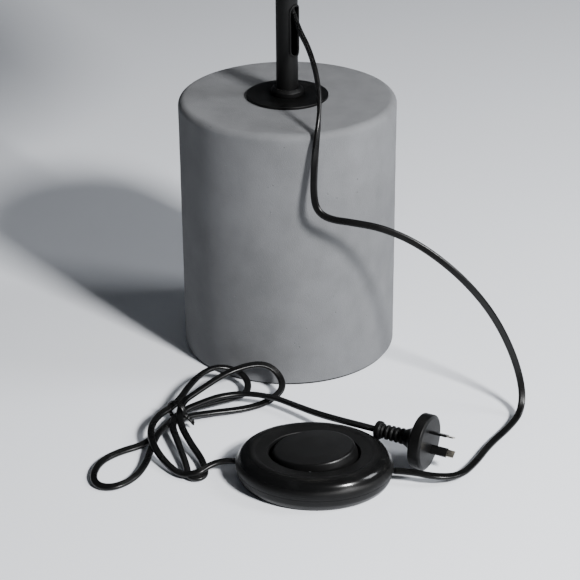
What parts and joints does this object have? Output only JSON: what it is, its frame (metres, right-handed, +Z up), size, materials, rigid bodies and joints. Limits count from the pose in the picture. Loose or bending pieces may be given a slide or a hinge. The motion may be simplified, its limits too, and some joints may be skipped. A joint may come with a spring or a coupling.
{
  "type": "table lamp",
  "caption": "Table lamp with a cylindrical concrete base, black steel pole, drum shade, and a flat flex with an oval foot switch and a two-pin plug.",
  "frame": {"origin": "on the surface that the lamp stands on, at the axis of the concrete base", "axes": "+Z up along the pole; -Y is the front, where the foot switch lies; +X is to the right of a viewer at the front"},
  "size_m": [0.3281, 0.4131, 0.5959],
  "materials": {
    "concrete": "cast grey concrete, fine pores, satin dry",
    "pad_foam": "black foam, matt",
    "black_steel": "black powder coat, fine satin",
    "plain_steel": "zinc plated",
    "black_pvc": "soft black PVC",
    "core_brown": "brown and blue core insulation",
    "black_shell": "black moulded shell, glossy rim and satin top",
    "black_moulding": "black moulded plastic, satin",
    "rocker_black": "black satin rocker",
    "pad_rubber": "grey rubber pads",
    "contact_brass": "brass contacts",
    "pin_brass": "dull nickel-plated brass pins",
    "white_ceramic": "unglazed white steatite",
    "cap_nickel": "nickel-plated screw cap",
    "bulb_white": "white bulb body",
    "bulb_opal": "opal diffuser",
    "shade_cloth": "natural linen weave on a stiff white liner",
    "shade_wire": "white painted wire",
    "board_white": "white board"
  },
  "bodies": {
    "root": {"concrete_base": "concrete", "base_pad": "pad_foam", "base_flange": "black_steel", "pole_collar": "black_steel", "base_washer": "plain_steel", "base_nut": "plain_steel", "tie_rod": "plain_steel", "pole": "black_steel", "outlet_bezel": "black_moulding", "pole_insert_low": "plain_steel", "pole_insert_top": "plain_steel", "cord_grip": "black_moulding", "inner_flex": "black_pvc", "flex_to_switch": "black_pvc", "flex_to_hank": "black_pvc", "flex_to_plug": "black_pvc", "pole_nipple": "plain_steel", "pole_locknut": "black_steel", "cap_nut": "plain_steel", "holder_cap": "black_moulding", "holder_body": "black_moulding", "contact_carrier": "white_ceramic", "screw_shell": "contact_brass", "centre_contact": "contact_brass", "holder_screws": "contact_brass", "holder_wires": "core_brown", "switch_housing": "black_shell", "switch_base": "black_shell", "switch_feet": "pad_rubber", "housing_screws": "plain_steel", "switch_leads": "black_pvc", "flex_clamps": "black_moulding", "clamp_screws": "plain_steel", "common_terminal": "contact_brass", "bridge_pin": "plain_steel", "line_terminal": "contact_brass", "neutral_link": "contact_brass", "terminal_screws": "plain_steel", "switch_cores": "core_brown", "rocker_stubs": "plain_steel", "plug_body": "black_moulding", "plug_pins": "pin_brass", "pin_sleeves": "black_moulding", "plug_boot": "black_moulding", "hank": "black_pvc", "hank_tie": "black_pvc"},
    "rocker": {"rocker": "rocker_black", "plunger": "black_moulding", "plunger_spring": "plain_steel"},
    "bridge": {"contact_bridge": "contact_brass"},
    "bulb": {"bulb_tip": "contact_brass", "bulb_cap": "cap_nickel", "bulb_body": "bulb_white", "bulb_board": "board_white", "bulb_globe": "bulb_opal"},
    "shade": {"shade_cover": "shade_cloth", "shade_top_ring": "shade_wire", "shade_spider": "shade_wire"},
    "clamp_ring": {"shade_clamp_ring": "black_moulding"}
  },
  "joints": [
    {"name": "rocker_tilt", "type": "hinge", "parent": "root", "child": "rocker", "pos_m": [0.0163, -0.208, 0.018], "axis": [0.1305, 0.9914, 0], "range_deg": [0, 12]},
    {"name": "bridge_tilt", "type": "hinge", "parent": "root", "child": "bridge", "pos_m": [0.0163, -0.208, 0.0062], "axis": [0.1305, 0.9914, 0], "range_deg": [-16, 0]},
    {"name": "shade_turn", "type": "hinge", "parent": "root", "child": "shade", "pos_m": [0, 0, 0.4179], "axis": [0, 0, 1], "continuous": true},
    {"name": "clamp_ring_turn", "type": "hinge", "parent": "root", "child": "clamp_ring", "pos_m": [0, 0, 0.4199], "axis": [0, 0, 1], "range_deg": [0, 720]},
    {"name": "bulb_turn", "type": "hinge", "parent": "root", "child": "bulb", "pos_m": [0, 0, 0.4205], "axis": [0, 0, 1], "range_deg": [0, 1080]}
  ],
  "couplings": [
    {"joint": "bridge_tilt", "follows": "rocker_tilt", "ratio": -1.3333}
  ]
}
